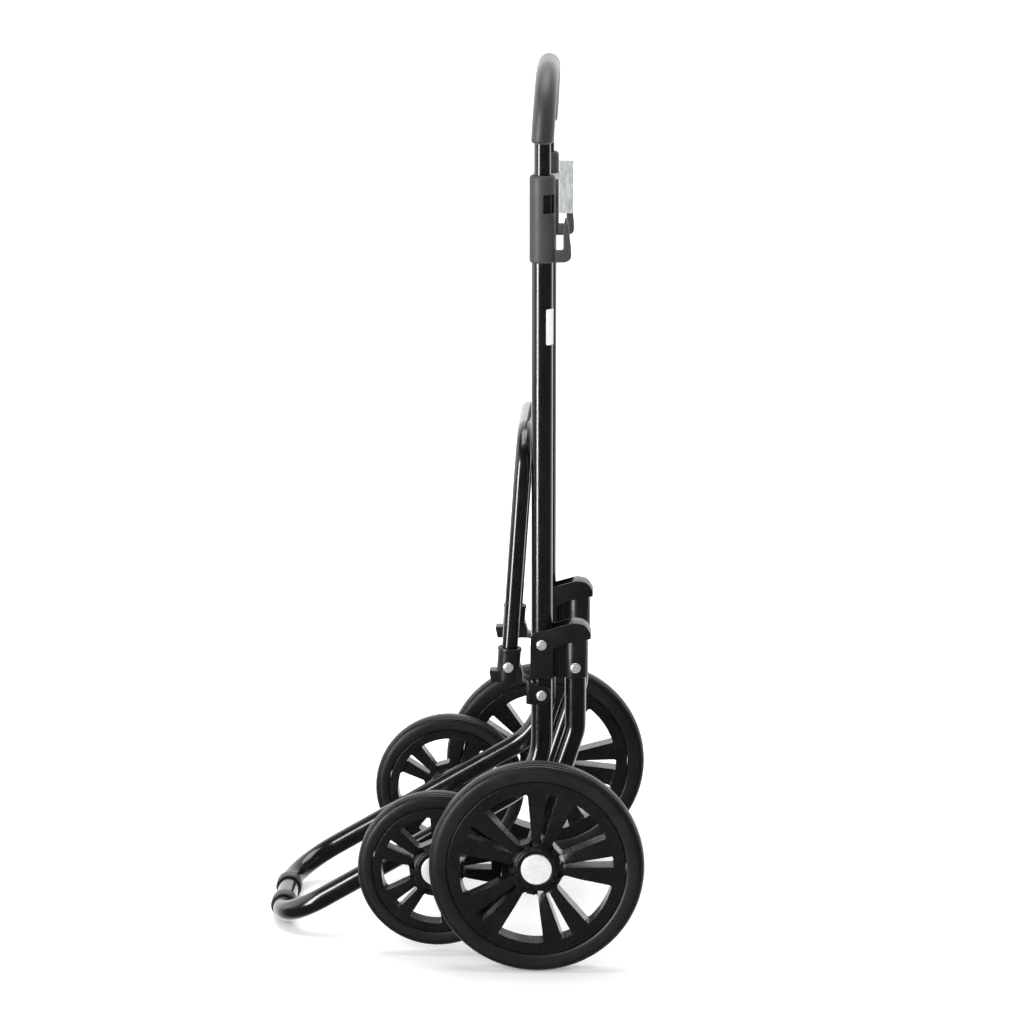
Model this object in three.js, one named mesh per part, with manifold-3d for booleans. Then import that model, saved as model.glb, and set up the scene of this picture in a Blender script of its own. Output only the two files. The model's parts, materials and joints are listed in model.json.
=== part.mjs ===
// Folding shopping trolley frame without its bag, in millimetres, +Z up.
// The front loop points towards -X, the user walks on the +X side, and left is -Y.
// Lengths along X are worked out from the big wheels' axle, and the whole group is then
// moved so that its origin is the middle of its footprint, at floor level.
import * as THREE from "three";
import { mergeVertices } from "three/addons/utils/BufferGeometryUtils.js";
import Module from "manifold-3d";

const wasm = await Module();
wasm.setup();

// ---- driving dimensions ----
const GAP = 0.3; // clearance between touching pieces
const TUBE_SIDES = 12;
const SMALL_SIDES = 10;
const BEND_STEP = 18; // degrees of a tube bend per step

const BIG = { radius: 110, width: 28, x: 0, z: 110, track: 205, rim: 91.3, ring: 77, sides: 36 };
const SMALL = { radius: 82, width: 25, x: -104, z: 92, track: 155, rim: 66.5, ring: 55, sides: 32 };
const HUB = { radius: 22, bore: 8.3, cap: 16, windows: 5, windowHalf: 17, slotHalf: 3.5 };
const WINDOW_TURN = { left: -30, right: -38 }; // degrees from +X up to a window, as the wheels rest
const AXLE_R = 6;
const BUSH = { inner: 6.4, outer: 8 };
const WASHER = { outer: 10, thick: 1.5 };

const TUBE_R = 11; // chassis and rear tubes
const TUBE_BORE = 9.5;
const LEG = { x: 2.5, y: 97, top: 790, bend: 72 };
const LOOP = { slope: 30.3, frontX: -273, bend: 55 };
const SLEEVE = { radius: 13.75, y: 33, length: 16 };
const BAR_Z = SLEEVE.radius;

const HANDLE = { radius: 8.5, bore: 7, foot: 550, top: 902, leanZ: 838, lean: 3.5, bend: 62 };
const GRIP = { radius: 11.7, from: 836 };
const COLLAR = { low: 715, high: 804, radius: 13.2, lip: 8.95, bore: 11.35 };
const COLLAR_WINDOW = { low: 766, high: 785, half: 7, turn: -52 };
const HOOK = { root: 12.2, seat: 12, width: 12, tipZ: 760 };
const LABEL = { low: 631, height: 37, from: -68, to: -5 }; // degrees round the left leg
const TAG = { bandZ: 779, band: 3, thick: 1, left: 13.7, right: 28.7, low: 740, high: 796 };

const SWING = 35; // degrees that the rear leg swings back
const REAR = { pivotZ: 318, x: 37.5, socketLow: 282, socketTop: 322, bendZ: 226, bend: 40, half: 13.3 };
const DECK = { pivotZ: 264.4, radius: 8.3, bore: 6.8, foot: 279, top: 535, bend: 48, lean: 3.9 };
const SOCKET = { x: -30.5, rim: 313, half: 13.3 }; // of the platform's brackets
const SOCKET_RIVET_Z = 294;
const RIVET = { shank: 3, hole: 3.3, head: 5.75, dome: 2.6 };
const CROSS_HOLE = 20; // half the length of the tools that cut holes across one leg

const ORIGIN_X = (BIG.radius + LOOP.frontX - SLEEVE.radius) / 2;
const rad = THREE.MathUtils.degToRad;

// ---- solids from three.js geometry ----
function solid(geometry) {
  const bare = geometry.index ? geometry.toNonIndexed() : geometry.clone();
  bare.deleteAttribute("normal");
  bare.deleteAttribute("uv");
  const merged = mergeVertices(bare, 1e-3);
  const p = merged.attributes.position.array;
  const index = merged.index.array;
  const faces = [];
  let volume = 0;
  for (let i = 0; i < index.length; i += 3) {
    const [a, b, c] = [index[i], index[i + 1], index[i + 2]];
    if (a === b || b === c || c === a) continue;
    faces.push([a, b, c]);
    const [va, vb, vc] = [a, b, c].map((v) => new THREE.Vector3().fromArray(p, 3 * v));
    volume += va.dot(vb.cross(vc));
  }
  const facing = volume > 0 ? faces : faces.map(([a, b, c]) => [a, c, b]);
  return new wasm.Manifold(
    new wasm.Mesh({
      numProp: 3,
      vertProperties: Float32Array.from(p),
      triVerts: Uint32Array.from(facing.flat()),
    }),
  );
}

function geometryOf(manifold) {
  const mesh = manifold.getMesh();
  const geometry = new THREE.BufferGeometry();
  geometry.setAttribute("position", new THREE.BufferAttribute(mesh.vertProperties, 3));
  geometry.setIndex(new THREE.BufferAttribute(mesh.triVerts, 1));
  geometry.computeVertexNormals();
  return geometry;
}

const at = (body, x, y, z) => body.translate([x, y, z]);
const mirrorY = (body) => body.mirror([0, 1, 0]);

function circle(radius, sides, Outline = THREE.Shape) {
  const points = [];
  for (let i = 0; i < sides; i++) {
    const angle = (2 * Math.PI * i) / sides;
    points.push(new THREE.Vector2(radius * Math.cos(angle), radius * Math.sin(angle)));
  }
  return new Outline(points);
}

// A lathe about Y. The profile holds [radius, y] pairs, and it is closed here.
function turned(profile, sides) {
  const points = profile.map(([r, y]) => new THREE.Vector2(r, y));
  points.push(points[0].clone());
  return solid(new THREE.LatheGeometry(points, sides));
}
const upright = (body) => body.rotate([90, 0, 0]);

const rod = (radius, y0, y1, sides) => turned([[0, y0], [radius, y0], [radius, y1], [0, y1]], sides);
const sleeve = (inner, outer, y0, y1, sides) =>
  turned([[inner, y0], [outer, y0], [outer, y1], [inner, y1]], sides);

// An outline in X and Z, made solid from y0 to y1.
function plate(outline, y0, y1, curveSegments = 5) {
  const shape = Array.isArray(outline)
    ? new THREE.Shape(outline.map(([x, z]) => new THREE.Vector2(x, z)))
    : outline;
  const body = solid(
    new THREE.ExtrudeGeometry(shape, { depth: y1 - y0, bevelEnabled: false, curveSegments }),
  );
  return upright(body).translate([0, y1, 0]);
}

function block(x0, x1, y0, y1, z0, z1) {
  const body = solid(new THREE.BoxGeometry(x1 - x0, y1 - y0, z1 - z0));
  return at(body, (x0 + x1) / 2, (y0 + y1) / 2, (z0 + z1) / 2);
}

// A path of straights and round bends, which has one station at each end of a straight and
// a few round each bend. Corners are [x, y, z, bend radius]; the two ends need no radius.
class BentPath extends THREE.Curve {
  constructor(corners) {
    super();
    const spots = corners.map(([x, y, z]) => new THREE.Vector3(x, y, z));
    const along = (i) => spots[i + 1].clone().sub(spots[i]).normalize();
    this.stations = [{ point: spots[0], tangent: along(0) }];
    for (let i = 1; i < spots.length - 1; i++) {
      const [before, after] = [along(i - 1), along(i)];
      const angle = before.angleTo(after);
      const radius = corners[i][3];
      const start = spots[i].clone().addScaledVector(before, -radius * Math.tan(angle / 2));
      const inward = after.clone().addScaledVector(before, -after.dot(before)).normalize();
      const steps = Math.max(1, Math.ceil(angle / rad(BEND_STEP)));
      for (let k = 0; k <= steps; k++) {
        const turn = (angle * k) / steps;
        const point = start
          .clone()
          .addScaledVector(before, radius * Math.sin(turn))
          .addScaledVector(inward, radius * (1 - Math.cos(turn)));
        const tangent = before.clone().multiplyScalar(Math.cos(turn));
        tangent.addScaledVector(inward, Math.sin(turn));
        this.stations.push({ point, tangent });
      }
    }
    this.stations.push({ point: spots.at(-1), tangent: along(spots.length - 2) });
  }
  station(t) {
    return this.stations[Math.round(t * (this.stations.length - 1))];
  }
  getPoint(t) {
    return this.station(t).point.clone();
  }
  getPointAt(t) {
    return this.getPoint(t);
  }
  getTangentAt(t) {
    return this.station(t).tangent.clone();
  }
}

function tube(corners, radius, bore = 0, sides = TUBE_SIDES) {
  const extrudePath = new BentPath(corners);
  const section = circle(radius, sides);
  if (bore) section.holes.push(circle(bore, sides, THREE.Path));
  return solid(
    new THREE.ExtrudeGeometry(section, { steps: extrudePath.stations.length - 1, extrudePath }),
  );
}

// ---- materials ----
const finish = (color, roughness, metalness) =>
  new THREE.MeshStandardMaterial({ color, roughness, metalness });
const BLACK_PAINT = finish(0x0b0b0c, 0.22, 0.3);
const BLACK_PLASTIC = finish(0x141414, 0.5, 0);
const GREY_PLASTIC = finish(0x3a3b38, 0.6, 0);
const RIM_PLASTIC = finish(0x121212, 0.42, 0);
const RUBBER = finish(0x2b2b2b, 0.8, 0);
const FOAM = finish(0x2a2a2a, 0.85, 0);
const STEEL = finish(0xd8d8d8, 0.25, 0.9);
const WHITE = finish(0xf2f2f2, 0.5, 0);
const CLEAR = finish(0xc9d2d0, 0.2, 0);

const trolley = new THREE.Group();
trolley.position.x = -ORIGIN_X;

function piece(name, body, material) {
  const mesh = new THREE.Mesh(geometryOf(body), material);
  mesh.name = name;
  trolley.add(mesh);
}

// A piece made for the left side, added on both sides.
function pair(name, leftBody, material) {
  piece(`${name}_left`, leftBody, material);
  piece(`${name}_right`, mirrorY(leftBody), material);
}

const acrossLeft = (body, x, z) => at(body, x, -LEG.y, z);

// ---- frame ----
const loopRun = (LEG.x - LOOP.frontX) * Math.tan(rad(LOOP.slope));
const kneeZ = BAR_Z + loopRun;

function chassis() {
  const side = (y) => [
    [LEG.x, y, LEG.top],
    [LEG.x, y, kneeZ, LEG.bend],
    [LOOP.frontX, y, BAR_Z, LOOP.bend],
  ];
  let body = tube([...side(-LEG.y), ...side(LEG.y).reverse()], TUBE_R, TUBE_BORE);
  for (const z of [REAR.pivotZ, DECK.pivotZ]) {
    body = body.subtract(at(rod(RIVET.hole, -2 * LEG.y, 2 * LEG.y, SMALL_SIDES), LEG.x, 0, z));
  }
  return body;
}

function hookCollar() {
  const shell = upright(
    turned(
      [
        [COLLAR.bore, COLLAR.low],
        [COLLAR.radius, COLLAR.low],
        [COLLAR.radius, COLLAR.high],
        [COLLAR.lip, COLLAR.high],
        [COLLAR.lip, LEG.top + GAP],
        [COLLAR.bore, LEG.top + GAP],
      ],
      24,
    ),
  );
  const hook = plate(
    [
      [HOOK.root, COLLAR.low],
      [25, COLLAR.low],
      [28.5, COLLAR.low + 3],
      [29.5, COLLAR.low + 9],
      [26, HOOK.tipZ - 4],
      [24, HOOK.tipZ],
      [22, HOOK.tipZ - 4],
      [21, COLLAR.low + HOOK.seat],
      [HOOK.root, COLLAR.low + HOOK.seat],
    ],
    -HOOK.width / 2,
    HOOK.width / 2,
  );
  const { low, high, half, turn } = COLLAR_WINDOW;
  const window = block(TUBE_R - 3, COLLAR.radius + 3, -half, half, low, high).rotate([0, 0, turn]);
  return acrossLeft(shell.add(hook).subtract(window), LEG.x, 0);
}

// A shank with a low dome at each end, along Y.
function rivet(half) {
  const { shank, head, dome } = RIVET;
  const side = [
    [shank, half],
    [head, half],
    [head * 0.8, half + dome * 0.75],
    [0, half + dome],
  ];
  return turned([...side.map(([r, y]) => [r, -y]).reverse(), ...side], SMALL_SIDES);
}

// A block under the sloping tube that carries the small wheels' axle.
function axleSaddle() {
  const { x, z } = SMALL;
  const outline = [
    [x - 15, z + 8],
    [x - 11, z - 10],
    [x + 11, z - 10],
    [x + 17, z + 14],
    [x + 17, z + 26],
    [x - 15, z + 14],
  ];
  const run = [
    [LEG.x, 0, kneeZ],
    [LOOP.frontX, 0, BAR_Z],
  ];
  const body = plate(outline, -8, 8).subtract(tube(run, TUBE_R + 2 * GAP));
  const axleHole = rod(AXLE_R + GAP, -CROSS_HOLE, CROSS_HOLE, TUBE_SIDES);
  return at(body.subtract(at(axleHole, x, 0, z)), 0, -LEG.y, 0);
}

piece("chassis_tube", chassis(), BLACK_PAINT);
pair("hook_collar", hookCollar(), GREY_PLASTIC);
const footSleeve = sleeve(TUBE_R + 0.5, SLEEVE.radius, -SLEEVE.length / 2, SLEEVE.length / 2, 20);
pair("foot_sleeve", at(footSleeve, LOOP.frontX, -SLEEVE.y, BAR_Z), RUBBER);
pair("rear_pivot_rivet", acrossLeft(rivet(REAR.half + GAP), LEG.x, REAR.pivotZ), STEEL);
pair("deck_pivot_rivet", acrossLeft(rivet(SOCKET.half + GAP), LEG.x, DECK.pivotZ), STEEL);
pair("axle_saddle", axleSaddle(), BLACK_PLASTIC);

function labelPlate() {
  const shape = new THREE.Shape();
  const [inner, outer] = [TUBE_R + GAP, TUBE_R + 2 * GAP];
  shape.absarc(0, 0, outer, rad(LABEL.from), rad(LABEL.to), false);
  shape.absarc(0, 0, inner, rad(LABEL.to), rad(LABEL.from), true);
  const body = solid(
    new THREE.ExtrudeGeometry(shape, { depth: LABEL.height, bevelEnabled: false, curveSegments: 6 }),
  );
  return at(body, LEG.x, -LEG.y, LABEL.low);
}
piece("blank_label", labelPlate(), WHITE);

// A film pocket beside the right collar, on a strap from a band round the collar.
function clearTag() {
  const { bandZ, band, thick, left, right, low, high } = TAG;
  const inner = COLLAR.radius + GAP;
  const outer = inner + thick;
  const ring = upright(sleeve(inner, outer, bandZ - band, bandZ + band, 24));
  const strap = block(0, left + 1, -outer, -inner, bandZ - band, bandZ + band);
  const panel = block(left, right, -outer, -inner, low, high);
  return at(ring.add(strap).add(panel), LEG.x, LEG.y, 0);
}
piece("clear_tag", clearTag(), CLEAR);

// ---- handle ----
function handlePath(from) {
  const shift = (z) => (z > HANDLE.leanZ ? (z - HANDLE.leanZ) * Math.tan(rad(HANDLE.lean)) : 0);
  const side = (y) => [
    [LEG.x + shift(from), y, from],
    ...(from < HANDLE.leanZ ? [[LEG.x, y, HANDLE.leanZ, 60]] : []),
    [LEG.x + shift(HANDLE.top), y, HANDLE.top, HANDLE.bend],
  ];
  return [...side(-LEG.y), ...side(LEG.y).reverse()];
}
piece("handle_tube", tube(handlePath(HANDLE.foot), HANDLE.radius, HANDLE.bore), BLACK_PAINT);
const gripPath = handlePath(HANDLE.foot).map(([x, y, z, r]) => [x, y, Math.max(z, GRIP.from), r]);
piece("handle_grip", tube(gripPath, GRIP.radius, HANDLE.radius + 0.5), FOAM);

const endPlug = turned(
  [[0, -9], [HANDLE.radius, -9], [HANDLE.radius, -GAP], [6.5, -GAP], [6.5, 14], [0, 14]],
  SMALL_SIDES,
);
pair("handle_plug", acrossLeft(upright(endPlug), LEG.x, HANDLE.foot), BLACK_PLASTIC);

// ---- load platform ----
const deckX = (z) => SOCKET.x + (z - SOCKET.rim) * Math.tan(rad(DECK.lean));

function deckTube() {
  const side = (y) => [
    [deckX(DECK.foot), y, DECK.foot],
    [deckX(DECK.top), y, DECK.top, DECK.bend],
  ];
  const body = tube([...side(-LEG.y), ...side(LEG.y).reverse()], DECK.radius, DECK.bore);
  const rivetHole = rod(RIVET.hole, -2 * LEG.y, 2 * LEG.y, SMALL_SIDES);
  return body.subtract(at(rivetHole, deckX(SOCKET_RIVET_Z), 0, SOCKET_RIVET_Z));
}

// Two ears turn on the leg, and a socket and a nose join them in front of it. Whatever is
// between the ears stays high and forward enough to pass the leg when the platform is down.
function deckBracket() {
  const { pivotZ, foot } = DECK;
  const { x, rim, half } = SOCKET;
  const ear = new THREE.Shape();
  ear.absarc(LEG.x, pivotZ, 9.5, rad(-100), rad(55), false);
  const front = [
    [x + 13, pivotZ + 18],
    [x + 12, rim],
    [x - 12, rim],
    [x - 12.5, pivotZ + 25.6],
    [x - 22, pivotZ + 24.6],
    [x - 17, pivotZ + 6],
    [x - 8, pivotZ - 2],
    [x, pivotZ - 6],
  ];
  for (const [px, pz] of front) ear.lineTo(px, pz);
  const [legHalf, swept] = [TUBE_R + 2 * GAP, 12.9];
  const legSpace = [
    [x - 30, pivotZ + swept],
    [LEG.x - swept, pivotZ + swept],
    [LEG.x - swept, rim + 5],
    [LEG.x + 20, rim + 5],
    [LEG.x + 20, pivotZ - 30],
    [x - 30, pivotZ - 30],
  ];
  const bore = [
    [deckX(foot - 1), 0, foot - 1],
    [deckX(rim + 5), 0, rim + 5],
  ];
  const hole = rod(RIVET.hole, -CROSS_HOLE, CROSS_HOLE, SMALL_SIDES);
  const body = plate(ear, -half, half, 4)
    .subtract(plate(legSpace, -legHalf, legHalf))
    .subtract(tube(bore, DECK.radius + GAP + 0.1))
    .subtract(at(hole, LEG.x, 0, pivotZ))
    .subtract(at(hole, deckX(SOCKET_RIVET_Z), 0, SOCKET_RIVET_Z));
  return at(body, 0, -LEG.y, 0);
}

piece("deck_tube", deckTube(), BLACK_PAINT);
pair("deck_bracket", deckBracket(), BLACK_PLASTIC);
const socketRivet = acrossLeft(rivet(SOCKET.half + GAP), deckX(SOCKET_RIVET_Z), SOCKET_RIVET_Z);
pair("deck_rivet", socketRivet, STEEL);

// ---- rear leg ----
function rearTube() {
  const pastAxle = new THREE.Vector2(BIG.x - REAR.x, BIG.z - REAR.bendZ).setLength(13);
  const corners = [
    [REAR.x, 0, REAR.socketTop - 1],
    [REAR.x, 0, REAR.bendZ, REAR.bend],
    [BIG.x + pastAxle.x, 0, BIG.z + pastAxle.y],
  ];
  const axleHole = rod(AXLE_R + GAP, -CROSS_HOLE, CROSS_HOLE, TUBE_SIDES);
  const rivetHole = rod(RIVET.hole, -CROSS_HOLE, CROSS_HOLE, SMALL_SIDES);
  const body = tube(corners, TUBE_R, TUBE_BORE)
    .subtract(at(axleHole, BIG.x, 0, BIG.z))
    .subtract(at(rivetHole, REAR.x, 0, SOCKET_RIVET_Z));
  return at(body, 0, -LEG.y, 0);
}

// Two ears hug the leg, and a cap, a recessed web and a socket for the rear tube join them
// behind it. The cap starts where its front edge meets the leg at the end of the swing.
function rearBracket() {
  const { half, pivotZ, socketLow, socketTop } = REAR;
  const [front, back] = [LEG.x - 11.8, REAR.x + 13.3];
  const ear = new THREE.Shape();
  ear.moveTo(front, socketLow);
  ear.lineTo(back, socketLow);
  ear.lineTo(back, 323.5);
  ear.lineTo(back + 3, 324.5);
  ear.lineTo(back + 3, 329);
  ear.quadraticCurveTo(back - 1, 341, REAR.x + 1, 341.5);
  ear.lineTo(LEG.x + 9, 334.5);
  ear.lineTo(LEG.x - 4, 328.8);
  ear.absarc(LEG.x, pivotZ, 11.8, rad(110), rad(180), false);
  const [legHalf, clearance] = [TUBE_R + 2 * GAP, TUBE_R + 1];
  const capZ = 350;
  const swingX = (z) =>
    LEG.x + (clearance + (z - pivotZ) * Math.sin(rad(SWING))) / Math.cos(rad(SWING));
  const legSpace = [
    [front - 5, socketLow - 5],
    [LEG.x + clearance, socketLow - 5],
    [LEG.x + clearance, pivotZ - 4],
    [swingX(pivotZ), pivotZ],
    [swingX(capZ), capZ],
    [front - 5, capZ],
  ];
  let body = plate(ear, -half, half, 5).subtract(plate(legSpace, -legHalf, legHalf));
  const [webStart, webEnd] = [LEG.x + clearance + 2, REAR.x - TUBE_R - 2.5];
  const recess = plate(
    [
      [webStart, socketLow - 1],
      [webEnd, socketLow - 1],
      [webEnd, pivotZ - 0.5],
      [webStart, pivotZ - 5],
    ],
    6,
    half + 1,
  );
  const bore = [
    [REAR.x, 0, socketLow - 1],
    [REAR.x, 0, socketTop],
  ];
  const hole = rod(RIVET.hole, -CROSS_HOLE, CROSS_HOLE, SMALL_SIDES);
  body = body
    .subtract(recess)
    .subtract(mirrorY(recess))
    .subtract(tube(bore, TUBE_R + 2 * GAP))
    .subtract(at(hole, LEG.x, 0, pivotZ))
    .subtract(at(hole, REAR.x, 0, SOCKET_RIVET_Z));
  return at(body, 0, -LEG.y, 0);
}
pair("rear_tube", rearTube(), BLACK_PAINT);
pair("rear_bracket", rearBracket(), BLACK_PLASTIC);
pair("rear_rivet", acrossLeft(rivet(REAR.half + GAP), REAR.x, SOCKET_RIVET_Z), STEEL);

// ---- axles and wheels ----
// Each axle ends inside its wheels, behind the hub caps, and a washer keeps each wheel off it.
function axle(wheel) {
  const reach = wheel.track + wheel.width / 2 - 4;
  return at(rod(AXLE_R, -reach, reach, TUBE_SIDES), wheel.x, 0, wheel.z);
}

function tyre({ radius, width, rim, sides }) {
  const [half, seat] = [width / 2, rim + 0.7];
  return turned(
    [
      [seat, -half + 2],
      [seat + 2, -half],
      [radius - 6, -half],
      [radius, -half * 0.55],
      [radius, half * 0.55],
      [radius - 6, half],
      [seat + 2, half],
      [seat, half - 2],
    ],
    sides,
  );
}

// The windows are cut through the web, between the hub and the rim ring.
function rim({ width, rim: outer, ring, sides }, windowTurn) {
  const [half, web] = [width / 2 - 1.5, width / 2 - 5];
  let body = turned(
    [
      [HUB.bore, -half],
      [HUB.radius, -half],
      [HUB.radius, -web],
      [ring, -web],
      [ring, -half],
      [outer, -half],
      [outer, half],
      [ring, half],
      [ring, web],
      [HUB.radius, web],
      [HUB.radius, half],
      [HUB.bore, half],
    ],
    sides - 12,
  );
  const inner = HUB.radius + 7;
  const cut = (halfAngle, far, centre) => {
    const spot = (r, a) => [r * Math.cos(rad(centre + a)), r * Math.sin(rad(centre + a))];
    const neck = Math.min(halfAngle, 9);
    const corners = [
      [inner, -neck],
      [far, -halfAngle],
      [far, halfAngle],
      [inner, neck],
    ];
    return plate(
      corners.map(([r, a]) => spot(r, a)),
      -half,
      half,
    );
  };
  const pitch = 360 / HUB.windows;
  for (let k = 0; k < HUB.windows; k++) {
    const turn = windowTurn + pitch * k;
    body = body.subtract(cut(HUB.windowHalf, ring - 1.5, turn));
    body = body.subtract(cut(HUB.slotHalf, ring - 7, turn - pitch / 2));
  }
  return body;
}

function hubCap(width) {
  const y = width / 2 - 1.2;
  return turned([[0, -y - 3], [HUB.cap - 1, -y - 3], [HUB.cap, -y - 2], [HUB.cap, -y], [0, -y]], 20);
}

function wheels(name, wheel) {
  const place = (body) => at(body, wheel.x, -wheel.track, wheel.z);
  const half = wheel.width / 2 - 2;
  pair(`${name}_tyre`, place(tyre(wheel)), RUBBER);
  piece(`${name}_rim_left`, place(rim(wheel, WINDOW_TURN.left)), RIM_PLASTIC);
  piece(`${name}_rim_right`, mirrorY(place(rim(wheel, WINDOW_TURN.right))), RIM_PLASTIC);
  pair(`${name}_bush`, place(sleeve(BUSH.inner, BUSH.outer, -half, half, TUBE_SIDES)), GREY_PLASTIC);
  pair(`${name}_cap`, place(hubCap(wheel.width)), STEEL);
  const washer = sleeve(AXLE_R + GAP, WASHER.outer, 0, WASHER.thick, TUBE_SIDES);
  pair(`${name}_washer`, at(place(washer), 0, wheel.width / 2, 0), STEEL);
  piece(`${name}_axle`, axle(wheel), STEEL);
}
wheels("big", BIG);
wheels("small", SMALL);

export default trolley;
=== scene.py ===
"""Looks of a folding shopping trolley frame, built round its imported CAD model.

Metres, +Z up. The front loop points towards -X, and the trolley's left side is -Y.
"""
import json
import math

import bmesh
import bpy
from mathutils import Matrix, Vector


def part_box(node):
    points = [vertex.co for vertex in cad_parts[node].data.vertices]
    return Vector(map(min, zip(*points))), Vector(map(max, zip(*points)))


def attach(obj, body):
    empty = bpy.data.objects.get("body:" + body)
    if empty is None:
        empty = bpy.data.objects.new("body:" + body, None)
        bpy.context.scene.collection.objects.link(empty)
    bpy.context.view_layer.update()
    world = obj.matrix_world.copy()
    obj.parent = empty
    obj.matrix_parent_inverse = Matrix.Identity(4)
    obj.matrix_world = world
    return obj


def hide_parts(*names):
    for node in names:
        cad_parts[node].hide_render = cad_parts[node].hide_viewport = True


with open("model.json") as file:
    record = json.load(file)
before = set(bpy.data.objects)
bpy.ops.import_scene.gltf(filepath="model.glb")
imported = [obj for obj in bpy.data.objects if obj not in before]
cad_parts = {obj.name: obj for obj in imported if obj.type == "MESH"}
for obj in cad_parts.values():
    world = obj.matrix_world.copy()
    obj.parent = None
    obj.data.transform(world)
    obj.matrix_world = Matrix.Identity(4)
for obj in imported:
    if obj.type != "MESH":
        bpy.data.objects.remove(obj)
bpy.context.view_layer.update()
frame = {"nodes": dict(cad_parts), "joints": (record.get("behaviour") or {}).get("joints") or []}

MM = 0.001
SIDES = (("left", -1), ("right", 1))


# ---- places and sizes, read from the frame ----
def middle(node):
    low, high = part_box(node)
    return (low + high) / 2


def joint_place(name):
    joint = next(j for j in frame["joints"] if j["name"] == name)
    return Vector(joint["pos_m"])


TUBE_R = 11 * MM
HANDLE_R = 8.5 * MM
DECK_R = 8.3 * MM
KNEE_BEND, LOOP_BEND = 72 * MM, 55 * MM
LEAN_Z, LEAN_BEND, HANDLE_BEND = 838 * MM, 60 * MM, 62 * MM
DECK_BEND, DECK_LEAN = 48 * MM, math.radians(3.9)
ELBOW_Z, ELBOW_BEND, PAST_AXLE = 226 * MM, 40 * MM, 13 * MM
BRACKET_SWING = math.radians(35)
COLLAR_WINDOW_Z, COLLAR_WINDOW_TURN = (766 * MM, 785 * MM), math.radians(-52)
TAG_WIDTH, TAG_BAND_Z, TAG_BAND_HALF = 15 * MM, 779 * MM, 3 * MM
LABEL_START, LABEL_SPAN = math.radians(-68), math.radians(63)
AXLE_BORE = 6.4 * MM
CREASE = 32  # degrees: sharper edges than this stay sharp when shaded
chassis_low, chassis_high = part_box("chassis_tube")
LEG_X = joint_place("rear_leg_swing").x
LEG_Y = chassis_high.y - TUBE_R
LEG_TOP = chassis_high.z
BAR_X = chassis_low.x + TUBE_R
BAR_Z = chassis_low.z + TUBE_R
LOOP_SLOPE = math.radians(30.3)
PIVOT_REAR = joint_place("rear_leg_swing").z
PIVOT_DECK = joint_place("platform_fold").z


# ---- materials ----
class Shader:
    """A Principled material and short ways to feed it from procedural textures."""

    def __init__(self, name, **sockets):
        self.material = bpy.data.materials.new(name)
        self.material.use_nodes = True
        self.nodes = self.material.node_tree.nodes
        self.links = self.material.node_tree.links
        self.base = self.nodes["Principled BSDF"]
        for socket, value in sockets.items():
            self.base.inputs[socket.replace("_", " ")].default_value = value
        self.where = self.nodes.new("ShaderNodeTexCoord").outputs["Object"]

    def noise(self, scale, detail=3.0, roughness=0.5, stretch=None):
        node = self.nodes.new("ShaderNodeTexNoise")
        node.inputs["Scale"].default_value = scale
        node.inputs["Detail"].default_value = detail
        node.inputs["Roughness"].default_value = roughness
        source = self.where
        if stretch:
            mapping = self.nodes.new("ShaderNodeMapping")
            mapping.inputs["Scale"].default_value = stretch
            self.links.new(source, mapping.inputs["Vector"])
            source = mapping.outputs["Vector"]
        self.links.new(source, node.inputs["Vector"])
        return node.outputs["Fac"]

    def ramp(self, source, stops):
        node = self.nodes.new("ShaderNodeValToRGB")
        elements = node.color_ramp.elements
        while len(elements) < len(stops):
            elements.new(0.5)
        for element, (place, colour) in zip(elements, stops):
            element.position = place
            element.color = (*colour, 1)
        self.links.new(source, node.inputs["Fac"])
        return node.outputs["Color"]

    def spread(self, source, low, high):
        node = self.nodes.new("ShaderNodeMapRange")
        node.inputs["From Min"].default_value = 0.3
        node.inputs["From Max"].default_value = 0.7
        node.inputs["To Min"].default_value = low
        node.inputs["To Max"].default_value = high
        self.links.new(source, node.inputs["Value"])
        return node.outputs["Result"]

    def colour(self, source):
        self.links.new(source, self.base.inputs["Base Color"])

    def roughness(self, source):
        self.links.new(source, self.base.inputs["Roughness"])

    def bump(self, source, strength, distance):
        node = self.nodes.new("ShaderNodeBump")
        node.inputs["Strength"].default_value = strength
        node.inputs["Distance"].default_value = distance
        self.links.new(source, node.inputs["Height"])
        before = self.base.inputs["Normal"]
        if before.links:
            self.links.new(before.links[0].from_socket, node.inputs["Normal"])
        self.links.new(node.outputs["Normal"], self.base.inputs["Normal"])


def grey(value, tint=(1, 1, 1)):
    return tuple(value * t for t in tint)


TINT = (1, 1.02, 0.86)  # the faint olive of the dark pieces


def powder_coat():
    """Glossy black paint whose surface ripples slightly, like orange peel."""
    s = Shader("powder_coat", Coat_Weight=0.5, Coat_Roughness=0.1)
    s.colour(s.ramp(s.noise(90), [(0.3, grey(0.005, TINT)), (0.7, grey(0.009, TINT))]))
    s.roughness(s.spread(s.noise(60), 0.18, 0.26))
    s.bump(s.noise(520, 2), 0.11, 0.3 * MM)
    return s.material


def moulded(name, dark, light, rough, grain, strength, tint=(1, 1, 1)):
    """Moulded plastic: a fine texture, and faint cloudy changes of shade and gloss."""
    s = Shader(name)
    s.colour(s.ramp(s.noise(40, 4), [(0.3, grey(dark, tint)), (0.7, grey(light, tint))]))
    s.roughness(s.spread(s.noise(120, 4), rough - 0.05, rough + 0.06))
    s.bump(s.noise(grain, 2), strength, 0.12 * MM)
    return s.material


def tyre_rubber():
    s = Shader("tyre_rubber")
    s.colour(s.ramp(s.noise(30, 5), [(0.3, grey(0.01, TINT)), (0.72, grey(0.017, TINT))]))
    s.roughness(s.spread(s.noise(80, 4), 0.38, 0.48))
    s.bump(s.noise(2200, 2), 0.25, 0.1 * MM)
    return s.material


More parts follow.
